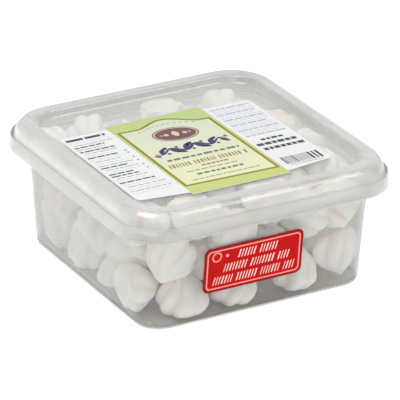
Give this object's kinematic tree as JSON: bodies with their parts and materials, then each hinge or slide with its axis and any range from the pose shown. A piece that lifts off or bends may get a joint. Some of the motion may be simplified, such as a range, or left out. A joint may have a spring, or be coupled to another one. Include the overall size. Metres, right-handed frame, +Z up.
{
  "type": "tub of meringue cookies",
  "caption": "Shut square tub of clear plastic with a pressed-on lid, an upper paper label and a red front label, filled with white piped meringue cookies.",
  "frame": {"origin": "centre of the footprint, on the surface the tub stands on", "axes": "+Z up, -Y out of the wall with the red label, +X to the right as that wall is faced"},
  "size_m": [0.19, 0.19, 0.0845],
  "materials": {
    "clear_plastic": "clear thin plastic, slightly cloudy",
    "clear_plastic_lid": "clear thin plastic, slightly cloudy, with soft highlights on its border",
    "label_paper": "coated label paper with printed colour fields",
    "label_red": "glossy red label paper with pale lines",
    "meringue": "matt dry baked meringue, off-white with faint peach tints in the creases"
  },
  "bodies": {
    "root": {"tub": "clear_plastic", "lid": "clear_plastic_lid", "top_label": "label_paper", "side_label": "label_red", "meringue_01": "meringue", "meringue_02": "meringue", "meringue_03": "meringue", "meringue_04": "meringue", "meringue_05": "meringue", "meringue_06": "meringue", "meringue_07": "meringue", "meringue_08": "meringue", "meringue_09": "meringue", "meringue_10": "meringue", "meringue_11": "meringue", "meringue_12": "meringue", "meringue_13": "meringue", "meringue_14": "meringue", "meringue_15": "meringue", "meringue_16": "meringue", "meringue_17": "meringue", "meringue_18": "meringue", "meringue_19": "meringue", "meringue_20": "meringue", "meringue_21": "meringue", "meringue_22": "meringue", "meringue_23": "meringue", "meringue_24": "meringue", "meringue_25": "meringue", "meringue_26": "meringue", "meringue_27": "meringue", "meringue_28": "meringue", "meringue_29": "meringue", "meringue_30": "meringue", "meringue_31": "meringue", "meringue_32": "meringue", "meringue_33": "meringue", "meringue_34": "meringue", "meringue_35": "meringue", "meringue_36": "meringue", "meringue_37": "meringue", "meringue_38": "meringue", "meringue_39": "meringue", "meringue_40": "meringue", "meringue_41": "meringue", "meringue_42": "meringue", "meringue_43": "meringue", "meringue_44": "meringue", "meringue_45": "meringue", "meringue_46": "meringue", "meringue_47": "meringue", "meringue_48": "meringue", "meringue_49": "meringue", "meringue_50": "meringue", "meringue_51": "meringue", "meringue_52": "meringue", "meringue_53": "meringue", "meringue_54": "meringue", "meringue_55": "meringue", "heap_middle": "meringue"}
  },
  "joints": []
}
